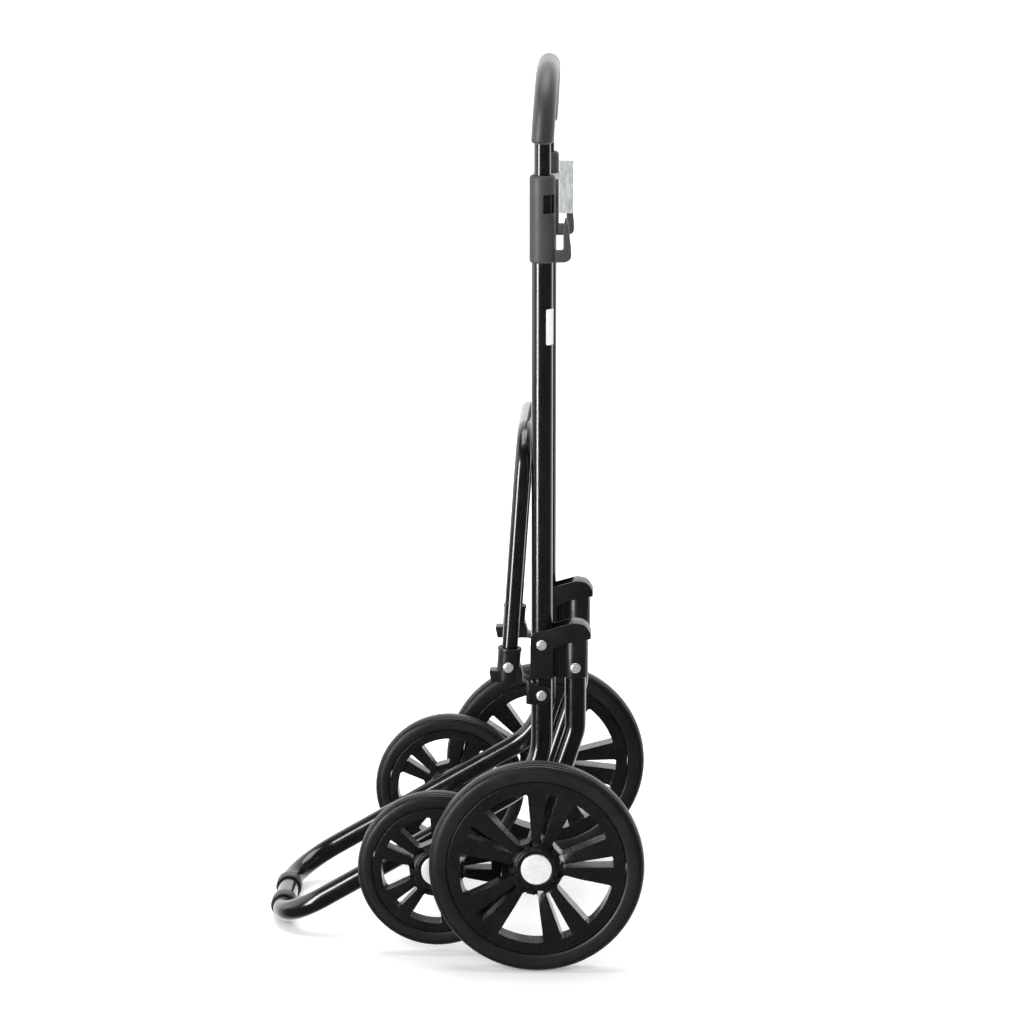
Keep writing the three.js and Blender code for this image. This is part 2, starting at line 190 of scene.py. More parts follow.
def grip_foam():
    """Closed-cell foam: a dense skin with small cells showing."""
    s = Shader("grip_foam", Sheen_Weight=0.35, Sheen_Roughness=0.5)
    s.colour(s.ramp(s.noise(900, 3), [(0.35, grey(0.016)), (0.7, grey(0.036))]))
    s.roughness(s.spread(s.noise(60, 3), 0.38, 0.48))
    s.bump(s.noise(1500, 4, 0.6), 0.5, 0.25 * MM)
    return s.material


def bright_steel():
    s = Shader("bright_steel", Metallic=0.6)
    s.colour(s.ramp(s.noise(150, 3), [(0.3, grey(0.72)), (0.7, grey(0.84))]))
    s.roughness(s.spread(s.noise(300, 3, 0.6, (1, 8, 1)), 0.2, 0.34))
    s.bump(s.noise(900, 3), 0.12, 0.05 * MM)
    return s.material


def pale_cap():
    """Silver-white hub cap with a faint cloudy lustre, blank."""
    s = Shader("pale_cap", Metallic=0.15)
    s.colour(s.ramp(s.noise(170, 3, 0.55, (1, 1, 2)), [(0.3, (0.84, 0.83, 0.82)), (0.7, (0.96, 0.94, 0.93))]))
    s.roughness(s.spread(s.noise(200, 3), 0.3, 0.42))
    s.bump(s.noise(500, 2), 0.1, 0.05 * MM)
    return s.material


def white_film():
    s = Shader("white_film")
    s.colour(s.ramp(s.noise(120, 3), [(0.3, grey(0.76)), (0.7, grey(0.84))]))
    s.roughness(s.spread(s.noise(200, 3), 0.35, 0.5))
    s.bump(s.noise(400, 2), 0.12, 0.05 * MM)
    return s.material


def clear_film():
    s = Shader("clear_film", Alpha=0.82)
    streaks = s.noise(160, 3, 0.5, (3, 3, 1))
    s.colour(s.ramp(streaks, [(0.3, (0.36, 0.4, 0.385)), (0.7, (0.6, 0.64, 0.63))]))
    s.roughness(s.spread(s.noise(200, 3), 0.12, 0.25))
    s.bump(s.noise(120, 3, 0.5, (3, 3, 1)), 0.3, 0.3 * MM)
    return s.material


PAINT = powder_coat()
BRACKET = moulded("bracket_plastic", 0.008, 0.013, 0.34, 1300, 0.3, TINT)
COLLAR = moulded("collar_plastic", 0.042, 0.056, 0.5, 1600, 0.35, (1, 1.01, 0.92))
RIM = moulded("rim_plastic", 0.007, 0.012, 0.28, 1500, 0.07, TINT)
BUSH = moulded("bush_plastic", 0.16, 0.22, 0.45, 900, 0.1)
SLEEVE = moulded("sleeve_rubber", 0.03, 0.05, 0.45, 900, 0.15)
RUBBER = tyre_rubber()
FOAM = grip_foam()
STEEL = bright_steel()
CAP = pale_cap()
LABEL = white_film()
FILM = clear_film()


# ---- mesh tools ----
def new_object(name, bm, material, crease=CREASE):
    bmesh.ops.remove_doubles(bm, verts=bm.verts, dist=1e-7)
    bmesh.ops.recalc_face_normals(bm, faces=bm.faces)
    mesh = bpy.data.meshes.new(name)
    bm.to_mesh(mesh)
    bm.free()
    mesh.materials.append(material)
    piece = bpy.data.objects.new(name, mesh)
    bpy.context.scene.collection.objects.link(piece)
    shade(piece, crease)
    return piece


def shade(piece, crease):
    mesh = piece.data
    mesh.polygons.foreach_set("use_smooth", [True] * len(mesh.polygons))
    mesh.set_sharp_from_angle(angle=math.radians(crease))


def place(piece, body, slot, nodes):
    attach(piece, body)
    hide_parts(*nodes)
    return piece


def bake_modifiers(piece):
    """Turns the piece's modifiers into mesh."""
    graph = bpy.context.evaluated_depsgraph_get()
    graph.update()
    mesh = bpy.data.meshes.new_from_object(piece.evaluated_get(graph))
    piece.modifiers.clear()
    piece.data = mesh


def boolean(piece, tools, operation="DIFFERENCE", crease=CREASE):
    """Cuts or joins the tools, which are used up, and leaves one mesh."""
    for tool in tools:
        step = piece.modifiers.new("boolean", "BOOLEAN")
        step.operation = operation
        step.solver = "EXACT"
        step.object = tool
    bake_modifiers(piece)
    for tool in tools:
        bpy.data.objects.remove(tool)
    shade(piece, crease)
    return piece


def bevel(piece, width, segments=3, angle=40, crease=CREASE):
    step = piece.modifiers.new("bevel", "BEVEL")
    step.width = width
    step.segments = segments
    step.limit_method = "ANGLE"
    step.angle_limit = math.radians(angle)
    step.harden_normals = False
    bake_modifiers(piece)
    shade(piece, crease)
    return piece


def mirrored(piece, name):
    """A copy of a left piece for the right side."""
    bm = bmesh.new()
    bm.from_mesh(piece.data)
    bmesh.ops.transform(bm, matrix=Matrix.Scale(-1, 4, (0, 1, 0)), verts=bm.verts)
    bmesh.ops.reverse_faces(bm, faces=bm.faces)
    mesh = bpy.data.meshes.new(name)
    bm.to_mesh(mesh)
    bm.free()
    mesh.materials.append(piece.data.materials[0])
    copy = bpy.data.objects.new(name, mesh)
    bpy.context.scene.collection.objects.link(copy)
    return copy


def pair(left, base, body, slot):
    """Puts a left piece and its mirror image on the bodies and CAD nodes of both sides."""
    right = mirrored(left, f"{base}_right_look")
    for piece, (side, _) in zip((left, right), SIDES):
        place(piece, body.format(side=side), slot, [f"{base}_{side}"])
    return left, right


def rounded(points, radius, steps=4):
    """A closed outline with every corner turned into an arc."""
    outline = []
    count = len(points)
    for i, corner in enumerate(points):
        here = Vector(corner[:2])
        size = corner[2] if len(corner) > 2 else radius
        before = Vector(points[i - 1][:2]) - here
        after = Vector(points[(i + 1) % count][:2]) - here
        opening = before.angle(after)
        if size <= 0 or abs(math.pi - opening) < 0.02:
            outline.append(here)
            continue
        reach = min(size / math.tan(opening / 2), before.length * 0.48, after.length * 0.48)
        bend = reach * math.tan(opening / 2)
        inward = (before.normalized() + after.normalized()).normalized()
        centre = here + inward * (bend / math.sin(opening / 2))
        start = here + before.normalized() * reach - centre
        turn = start.angle_signed(here + after.normalized() * reach - centre)
        for k in range(steps + 1):
            outline.append(centre + Matrix.Rotation(-turn * k / steps, 2) @ start)
    return outline


def prism(name, outline, y0, y1, material):
    """An outline of (x, z) points, made solid from y0 to y1."""
    bm = bmesh.new()
    near = [bm.verts.new((p[0], y0, p[1])) for p in outline]
    far = [bm.verts.new((p[0], y1, p[1])) for p in outline]
    bm.faces.new(near)
    bm.faces.new(reversed(far))
    count = len(outline)
    for i in range(count):
        j = (i + 1) % count
        bm.faces.new((near[j], near[i], far[i], far[j]))
    return new_object(name, bm, material)


def lathe(name, profile, centre, material, axis="Y", sides=96, crease=CREASE):
    """A closed profile of (radius, along) points, turned about an axis through centre."""
    bm = bmesh.new()
    turn_to = {"Y": Matrix.Identity(3), "Z": Matrix.Rotation(math.radians(90), 3, "X")}[axis]
    rings = []
    for k in range(sides):
        angle = 2 * math.pi * k / sides
        ring = []
        for radius, along in profile:
            spot = Vector((radius * math.sin(angle), along, radius * math.cos(angle)))
            ring.append(bm.verts.new(turn_to @ spot + Vector(centre)))
        rings.append(ring)
    count = len(profile)
    for k in range(sides):
        here, after = rings[k], rings[(k + 1) % sides]
        for i in range(count):
            j = (i + 1) % count
            if profile[i][0] < 1e-9 and profile[j][0] < 1e-9:
                continue
            bm.faces.new((here[i], here[j], after[j], after[i]))
    bmesh.ops.remove_doubles(bm, verts=bm.verts, dist=1e-7)
    loose = [f for f in bm.faces if f.calc_area() < 1e-14]
    bmesh.ops.delete(bm, geom=loose, context="FACES")
    return new_object(name, bm, material, crease)


def bent_path(corners, step=math.radians(5)):
    """Stations (point, direction) along straights and round bends.

    A corner is (x, y, z, bend radius), and the two ends need no radius.
    """
    spots = [Vector(c[:3]) for c in corners]
    ways = [(b - a).normalized() for a, b in zip(spots, spots[1:])]
    stations = [(spots[0], ways[0])]
    for i in range(1, len(spots) - 1):
        before, after = ways[i - 1], ways[i]
        angle = before.angle(after)
        radius = corners[i][3]
        start = spots[i] - before * radius * math.tan(angle / 2)
        inward = (after - before * after.dot(before)).normalized()
        count = max(2, math.ceil(angle / step))
        for k in range(count + 1):
            turn = angle * k / count
            point = start + before * radius * math.sin(turn) + inward * radius * (1 - math.cos(turn))
            stations.append((point, before * math.cos(turn) + inward * math.sin(turn)))
    stations.append((spots[-1], ways[-1]))
    return stations


def trimmed(stations, low_z):
    """Only the stations above a height, for a sleeve over part of a tube."""
    return [s for s in stations if s[0].z > low_z]


def sweep(name, stations, radii, material, sides=40, crease=CREASE):
    """A round section along a path: one radius, or one for each station."""
    if not isinstance(radii, (list, tuple)):
        radii = [radii] * len(stations)
    bm = bmesh.new()
    way = stations[0][1]
    across = way.orthogonal().normalized()
    rings = []
    for (point, tangent), radius in zip(stations, radii):
        across = (way.rotation_difference(tangent) @ across).normalized()
        way = tangent
        other = tangent.cross(across)
        ring = []
        for k in range(sides):
            angle = 2 * math.pi * k / sides
            ring.append(bm.verts.new(point + (across * math.cos(angle) + other * math.sin(angle)) * radius))
        rings.append(ring)
    for here, after in zip(rings, rings[1:]):
        for i in range(sides):
            j = (i + 1) % sides
            bm.faces.new((here[i], here[j], after[j], after[i]))
    bm.faces.new(reversed(rings[0]))
    bm.faces.new(rings[-1])
    return new_object(name, bm, material, crease)


# ---- tubes ----
def both_legs(corners):
    """A left half, given as (x, z, bend radius) rows, and its mirror image as one route."""
    left = [(x, -LEG_Y, z, bend) for x, z, bend in corners]
    right = [(x, LEG_Y, z, bend) for x, z, bend in reversed(corners)]
    return left + right


def chassis_tube():
    knee_z = BAR_Z + (LEG_X - BAR_X) * math.tan(LOOP_SLOPE)
    route = both_legs([(LEG_X, LEG_TOP, 0), (LEG_X, knee_z, KNEE_BEND), (BAR_X, BAR_Z, LOOP_BEND)])
    piece = sweep("chassis_tube_look", bent_path(route), TUBE_R, PAINT)
    place(piece, "frame", "black_paint", ["chassis_tube"])


def handle_route():
    low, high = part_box("handle_tube")
    top = high.z - HANDLE_R
    back = high.x - HANDLE_R
    return bent_path(both_legs([(LEG_X, low.z, 0), (LEG_X, LEAN_Z, LEAN_BEND), (back, top, HANDLE_BEND)]))


def grip_radii(stations, radius):
    """The grip's ends are rounded over a few millimetres."""
    reach = [0.0]
    for (a, _), (b, _) in zip(stations, stations[1:]):
        reach.append(reach[-1] + (b - a).length)
    round_end = 3 * MM
    radii = []
    for along in reach:
        inset = max(0.0, round_end - min(along, reach[-1] - along))
        radii.append(radius - round_end + math.sqrt(round_end**2 - inset**2))
    return radii


def with_ends(stations, fractions):
    """Adds stations close to both ends, so that the ends can be rounded."""
    (first, way), (last, end_way) = stations[0], stations[-1]
    start = [(first + way * d, way) for d in fractions]
    end = [(last - end_way * d, end_way) for d in reversed(fractions)]
    return [stations[0]] + start + stations[1:-1] + end + [stations[-1]]


def handle():
    route = handle_route()
    tube = sweep("handle_tube_look", route, HANDLE_R, PAINT)
    place(tube, "handle", "black_paint", ["handle_tube"])
    low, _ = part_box("handle_grip")
    upper = trimmed(route, low.z + 8 * MM)
    foot = [(Vector((LEG_X, side * LEG_Y, low.z)), Vector((0, 0, -side))) for _, side in SIDES]
    stations = with_ends([foot[0]] + upper + [foot[1]], [0.3 * MM, 1 * MM, 2 * MM, 3 * MM])
    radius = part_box("handle_grip")[1].y - LEG_Y
    grip = sweep("handle_grip_look", stations, grip_radii(stations, radius), FOAM, 48)
    place(grip, "handle", "grip_foam", ["handle_grip"])


def deck_tube():
    low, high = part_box("deck_tube")
    foot_x = low.x + DECK_R
    route = both_legs([(foot_x, low.z, 0), (high.x - DECK_R, high.z - DECK_R, DECK_BEND)])
    piece = sweep("deck_tube_look", bent_path(route), DECK_R, PAINT)
    place(piece, "platform", "black_paint", ["deck_tube"])


REAR_X = middle("rear_rivet_left").x
AXLE = joint_place("big_wheel_left_spin")


def rear_tubes():
    _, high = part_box("rear_tube_left")
    elbow = Vector((REAR_X, -LEG_Y, ELBOW_Z))
    down = (Vector((AXLE.x, -LEG_Y, AXLE.z)) - elbow).normalized()
    end = Vector((AXLE.x, -LEG_Y, AXLE.z)) + down * PAST_AXLE
    route = [(REAR_X, -LEG_Y, high.z), (*elbow, ELBOW_BEND), tuple(end)]
    tube = sweep("rear_tube_left_look", bent_path(route), TUBE_R, PAINT)
    pair(tube, "rear_tube", "rear_leg", "black_paint")


# ---- wheels ----
WINDOWS = 5
HUB_R = 22 * MM
WINDOW_IN = 29 * MM
WINDOW_TURN = math.radians(-30)
RIGHT_TURN = math.radians(8)  # the right wheels rest turned by this much about +Y
WINDOW_HALF = math.radians(17.5)
SLOT_HALF = math.radians(4.2)
RING_WIDE = {"big": 14 * MM, "small": 11 * MM}  # the solid ring outside the windows
RIM_BORE = 8.3 * MM
TYRE_GAP = 0.35 * MM
PERIOD = 2 * math.pi / WINDOWS


def polar(centre, radius, angle):
    return (centre.x + radius * math.cos(angle), centre.z + radius * math.sin(angle))


def window_outline(centre, inner, outer, turn, half_in, half_out):
    arc = [polar(centre, outer, turn - half_out + half_out * k / 3) + (0.0,) for k in range(1, 6)]
    start = polar(centre, outer, turn - half_out) + (2.2 * MM,)
    end = polar(centre, outer, turn + half_out) + (2.2 * MM,)
    inside = [polar(centre, inner, turn + s * half_in) + (3.5 * MM,) for s in (1, -1)]
    return rounded([start, *arc, end, *inside], 0)


def facet_tool(name, centre, face_y, slot_angle, window_angle, ring):
    """A wedge that slopes the end of a spoke down towards the hub and its window."""
    deep = 7 * MM
    toward = 1 if window_angle > slot_angle else -1
    a = Vector((*polar(centre, HUB_R + 5 * MM, slot_angle - toward * 0.1), 0))
    b = Vector((*polar(centre, ring * 0.66, window_angle + toward * 0.04), 0))
    c = Vector((*polar(centre, HUB_R + 1 * MM, window_angle + toward * 0.2), deep))
    bm = bmesh.new()
    for x, z, depth in (a, b, c):
        bm.verts.new((x, face_y + depth, z))
        bm.verts.new((x, face_y - 10 * MM, z))
    bmesh.ops.convex_hull(bm, input=bm.verts)
    return new_object(name, bm, RIM)


def rim_look(size, centre, track_y, half, outer):
    """A moulded rim: a deep pierced disc with a hub, a bead flange and faceted spokes."""
    face = half - 1.5 * MM
    ring = outer - RING_WIDE[size]
    section = [
        (RIM_BORE, -face),
        (16.6 * MM, -face),
        (16.6 * MM, -face - 2.2 * MM, 0.6 * MM),
        (20.5 * MM, -face - 2.2 * MM, 1.2 * MM),
        (HUB_R, -face + 1 * MM, 0.5 * MM),
        (WINDOW_IN - 2 * MM, -face + 2.5 * MM, 2 * MM),
        (WINDOW_IN + 1 * MM, -face + 0.6 * MM, 1.5 * MM),
        (outer - 0.8 * MM, -face, 0.5 * MM),
        (outer, -face + 1 * MM, 0.5 * MM),
        (outer, face - 1 * MM, 0.5 * MM),
        (outer - 0.8 * MM, face, 0.5 * MM),
        (ring, face, 0.5 * MM),
        (ring, face - 2 * MM, 0.8 * MM),
        (HUB_R, face - 2 * MM, 0.8 * MM),
        (HUB_R - 2 * MM, face + 1.5 * MM, 1 * MM),
        (RIM_BORE, face + 1.5 * MM, 0.5 * MM),
    ]
    profile = [tuple(p) for p in rounded(section, 0, 3)]
    rim = lathe(f"{size}_rim_left_look", profile, (centre.x, track_y, centre.z), RIM, sides=120)
    windows, facets = [], []
    window_out = ring + 1.5 * MM
    for k in range(WINDOWS):
        turn = WINDOW_TURN + PERIOD * k
        slot_turn = turn - PERIOD / 2
        wide = window_outline(centre, WINDOW_IN, window_out, turn, WINDOW_HALF * 0.86, WINDOW_HALF)
        slim = window_outline(centre, WINDOW_IN - 1 * MM, window_out, slot_turn, SLOT_HALF * 0.9, SLOT_HALF)
        for tag, outline in (("wide", wide), ("slim", slim)):
            tool = prism(f"tool_{tag}_{k}", outline, track_y - half * 2, track_y + half * 2, RIM)
            windows.append(tool)
        for way in (-1, 1):
            slot_edge = slot_turn + PERIOD * (way < 0) + way * SLOT_HALF
            window_edge = turn - way * WINDOW_HALF
            facets.append(
                facet_tool(f"tool_facet_{k}_{way}", centre, track_y - face, slot_edge, window_edge, ring)
            )
    boolean(rim, facets)
    boolean(rim, windows)
    return rim


TREAD_RISE = 9 * MM  # from the tyre's widest ring to the top of its tread
GROOVE_TURNS = (20, 34, 50, 72, 108, 130, 146, 160)  # degrees across the tread from its near edge
GROOVE_DEPTH = 1 * MM


def tyre_look(size, centre, track_y, radius, half, seat):
    """A round-shouldered tyre with fine grooves round its tread and shoulders, and a bead lip."""
    shoulder = radius - TREAD_RISE

    def surface(degrees):
        turn = math.radians(degrees)
        across = -math.cos(turn)
        rise = max(0.0, math.sin(turn)) ** 0.8
        return Vector((shoulder + TREAD_RISE * rise, math.copysign(abs(across) ** 0.75, across) * half))

    def sunk(degrees):
        along = surface(degrees + 1) - surface(degrees - 1)
        return surface(degrees) - Vector((along.y, -along.x)).normalized() * GROOVE_DEPTH

    plain = [turn for turn in range(0, 181, 10) if all(abs(turn - g) > 5 for g in GROOVE_TURNS)]
    spots = {turn: surface(turn) for turn in plain}
    for groove in GROOVE_TURNS:
        spots.update({groove - 4: surface(groove - 4), groove + 4: surface(groove + 4)})
        spots.update({groove - 2: sunk(groove - 2), groove + 2: sunk(groove + 2)})
    bead = [(0, 2.2), (0.6, 1.2), (2.4, 0.5)]
    profile = [(seat + rise * MM, inset * MM - half) for rise, inset in bead]
    profile += [tuple(spots[turn]) for turn in sorted(spots)]
    profile += [(seat + rise * MM, half - inset * MM) for rise, inset in reversed(bead)]
    spot = (centre.x, track_y, centre.z)
    return lathe(f"{size}_tyre_left_look", profile, spot, RUBBER, sides=160, crease=40)


def cap_look(size, centre):
    """A blank, slightly crowned disc with a rounded edge."""
    low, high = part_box(f"{size}_cap_left")
    radius = (high.x - low.x) / 2 - 0.2 * MM
    section = [(0, low.y), (radius * 0.5, low.y + 0.05 * MM), (radius - 1.2 * MM, low.y + 0.3 * MM)]
    section += [(radius - 0.3 * MM, low.y + 0.8 * MM), (radius, low.y + 1.5 * MM)]
    section += [(radius, high.y), (0, high.y)]
    return lathe(f"{size}_cap_left_look", section, (centre.x, 0, centre.z), CAP, sides=72)


def ring_look(base, centre, body, slot, material):
    """A plain round ring or sleeve, from its node's box, with softened edges."""
    low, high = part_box(f"{base}_left")
    outer = (high.x - low.x) / 2
    edge = min(0.4 * MM, (high.y - low.y) / 3)
    corners = [(AXLE_BORE, low.y), (outer, low.y), (outer, high.y), (AXLE_BORE, high.y)]
    profile = [tuple(p) for p in rounded(corners, edge, 3)]
    pair(lathe(f"{base}_left_look", profile, (centre.x, 0, centre.z), material, sides=48), base, body, slot)


def axle_look(size, centre, body):
    low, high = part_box(f"{size}_axle")
    radius = (high.z - low.z) / 2
    edge = 0.8 * MM
    section = [(0, low.y), (radius - edge, low.y), (radius, low.y + edge)]
    section += [(radius, high.y - edge), (radius - edge, high.y), (0, high.y)]
    piece = lathe(f"{size}_axle_look", section, (centre.x, 0, centre.z), STEEL, sides=48)
    place(piece, body, "bright_steel", [f"{size}_axle"])


def wheels(size, axle_body):
    centre = joint_place(f"{size}_wheel_left_spin")
    track_y = middle(f"{size}_tyre_left").y
    low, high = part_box(f"{size}_tyre_left")
    radius, half = (high.z - low.z) / 2, (high.y - low.y) / 2
    rim_low, rim_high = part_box(f"{size}_rim_left")
    outer = (rim_high.x - rim_low.x) / 2
    body = size + "_wheel_{side}"
    _, right_rim = pair(rim_look(size, centre, track_y, half, outer), f"{size}_rim", body, "rim_plastic")
    tilted(right_rim, centre, RIGHT_TURN)
    tyre = tyre_look(size, centre, track_y, radius, half, outer + TYRE_GAP)
    pair(tyre, f"{size}_tyre", body, "tyre")
    pair(cap_look(size, centre), f"{size}_cap", body, "hub_cap")
    ring_look(f"{size}_bush", centre, body, "bush_plastic", BUSH)
    ring_look(f"{size}_washer", centre, axle_body, "bright_steel", STEEL)
    axle_look(size, centre, axle_body)


# ---- rivets ----
def rivets(base, body):
    """A domed rivet with a fine flange, along Y."""
    low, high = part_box(f"{base}_left")
    centre = middle(f"{base}_left")
    head = (high.x - low.x) / 2
    shank, flange, dome = 3 * MM, 0.4 * MM, 2.6 * MM
    half = (high.y - low.y) / 2
    seat = half - dome
    arc = []
    for k in range(6):
        angle = math.pi / 2 * k / 6
        arc.append((head * math.cos(angle), seat + flange + (dome - flange) * math.sin(angle)))
    side = [(shank, seat), (head, seat), *arc, (0.0, half)]
    profile = [(r, -y) for r, y in reversed(side)] + side
    piece = lathe(f"{base}_left_look", profile, centre, STEEL, sides=48)
    pair(piece, base, body, "bright_steel")


# ---- collars, brackets and small fittings ----
def block(name, x, y, z, material=BRACKET):
    """A box from three (low, high) pairs."""
    corners = [(x[0], z[0]), (x[1], z[0]), (x[1], z[1]), (x[0], z[1])]
    return prism(name, corners, *y, material)


def shifted(points, x, z):
    """Outline points in millimetres, as metres from a reference point; a radius follows if given."""
    return [(x + p[0] * MM, z + p[1] * MM, *[r * MM for r in p[2:]]) for p in points]


def hook_collar():
    low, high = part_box("hook_collar_left")
    radius = LEG_X - low.x
    bore, lip, step_z = 11.4 * MM, 9.0 * MM, LEG_TOP + 0.3 * MM
    section = [
        (bore, low.z, 0.3 * MM),
        (radius - 1.2 * MM, low.z, 0.5 * MM),
        (radius, low.z + 1.6 * MM, 1.2 * MM),
        (radius, high.z - 2.2 * MM, 1.5 * MM),
        (radius - 1.6 * MM, high.z, 0.8 * MM),
        (lip, high.z, 0.5 * MM),
        (lip, step_z),
        (bore, step_z),
    ]
    profile = [tuple(p) for p in rounded(section, 0, 4)]
    collar = lathe("hook_collar_left_look", profile, (LEG_X, -LEG_Y, 0), COLLAR, "Z", 72)
    hook = [
        (12.2, 0.3, 0),
        (23, 0.3, 6.5),
        (29.4, 3, 5),
        (29.2, 14, 8),
        (26.6, 36, 8),
        (24.4, 45, 1.2),
        (22.6, 44, 1),
        (21.2, 30, 6),
        (21.4, 12, 2.4),
        (12.2, 12, 0),
    ]
    outline = rounded(shifted(hook, LEG_X, low.z), 0, 6)
    blade = prism("tool_hook", outline, -LEG_Y - 6 * MM, -LEG_Y + 6 * MM, COLLAR)
    bevel(blade, 1 * MM, 3, 50)
    boolean(collar, [blade], "UNION")
    window = block("tool_window", (8 * MM, 16 * MM), (-7.2 * MM, 7.2 * MM), COLLAR_WINDOW_Z)
    window.data.transform(Matrix.Rotation(COLLAR_WINDOW_TURN, 4, "Z"))
    window.data.transform(Matrix.Translation((LEG_X, -LEG_Y, 0)))
    boolean(collar, [window])
    pair(collar, "hook_collar", "frame", "collar_plastic")


def rear_bracket():
    low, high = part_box("rear_bracket_left")
    near, far = low.y, high.y
    cap = [
        (-11.3, -10, 2),
        (-11.3, 11.3, 11),
        (-2, 14.4, 12),
        (9, 16.8, 12),
        (33, 23.6, 16),
        (45, 22, 14),
        (51, 12, 6),
        (51, 6.6, 0.8),
        (46, 5.6, 0.5),
        (46, -4, 0),
        (30, 3, 0),
        (24, 0.5, 5),
        (8, -6.5, 4),
        (5, -11, 4),
    ]
    outline = rounded(shifted(cap, LEG_X, PIVOT_REAR), 0, 7)
    bracket = prism("rear_bracket_left_look", outline, near, far, BRACKET)
    bevel(bracket, 1.1 * MM, 3, 50)
    foot_z = low.z
    cheeks = block("tool_cheeks", (low.x + 0.2 * MM, LEG_X + 12.6 * MM), (near, far), (foot_z, PIVOT_REAR))
    bevel(cheeks, 1.2 * MM, 3, 50)
    socket_r = 13 * MM
    section = [
        (0, foot_z),
        (socket_r - 0.8 * MM, foot_z, 0.6 * MM),
        (socket_r, foot_z + 0.8 * MM, 0.6 * MM),
        (socket_r, PIVOT_REAR + 2 * MM),
        (socket_r - 3 * MM, PIVOT_REAR + 12 * MM),
        (0, PIVOT_REAR + 12 * MM),
    ]
    profile = [section[0]] + [tuple(p) for p in rounded(section, 0, 3)[1:]]
    socket = lathe("tool_socket", profile, (REAR_X, -LEG_Y, 0), BRACKET, "Z", 72)
    web_y = (-LEG_Y - 6 * MM, -LEG_Y + 6 * MM)
    web_z = (foot_z + 0.5 * MM, PIVOT_REAR - 2 * MM)
    web = block("tool_web", (LEG_X + 9 * MM, REAR_X - 6 * MM), web_y, web_z)
    rib_y = (near + 3.5 * MM, far - 3.5 * MM)
    rib_z = (foot_z + 1 * MM, PIVOT_REAR - 4 * MM)
    ribs = []
    for k in range(2):
        x = LEG_X + (14.6 + 3.6 * k) * MM
        ribs.append(block(f"tool_rib_{k}", (x, x + 1.2 * MM), rib_y, rib_z))
    boolean(bracket, [cheeks, socket, web, *ribs], "UNION")
    clearance = TUBE_R + 1 * MM

    def swing_x(z):
        """Where the leg's back edge reaches once the bracket has swung to its limit."""
        reach = clearance + (z - PIVOT_REAR) * math.sin(BRACKET_SWING)
        return LEG_X + reach / math.cos(BRACKET_SWING)

    ahead, above = low.x - 5 * MM, PIVOT_REAR + 32 * MM
    space = [
        (ahead, foot_z - 5 * MM),
        (LEG_X + clearance, foot_z - 5 * MM),
        (LEG_X + clearance, PIVOT_REAR - 4 * MM),
        (swing_x(PIVOT_REAR), PIVOT_REAR),
        (swing_x(above), above),
        (ahead, above),
    ]
    leg_half = TUBE_R + 0.6 * MM
    slot = prism("tool_slot", [Vector(p) for p in space], -LEG_Y - leg_half, -LEG_Y + leg_half, BRACKET)
    bore_profile = [(0, foot_z - 5 * MM), (TUBE_R + 0.4 * MM, foot_z - 5 * MM)]
    bore_profile += [(TUBE_R + 0.4 * MM, PIVOT_REAR + 4 * MM), (0, PIVOT_REAR + 4 * MM)]
    bore = lathe("tool_bore", bore_profile, (REAR_X, -LEG_Y, 0), BRACKET, "Z", 72)
    boolean(bracket, [slot, bore])
    pair(bracket, "rear_bracket", "rear_leg", "black_plastic")


def tilted(piece, pivot, angle):
    """Leans a mesh about an axis along Y."""
    turn = Matrix.Translation(pivot) @ Matrix.Rotation(angle, 4, "Y") @ Matrix.Translation(-pivot)
    piece.data.transform(turn)
    return piece


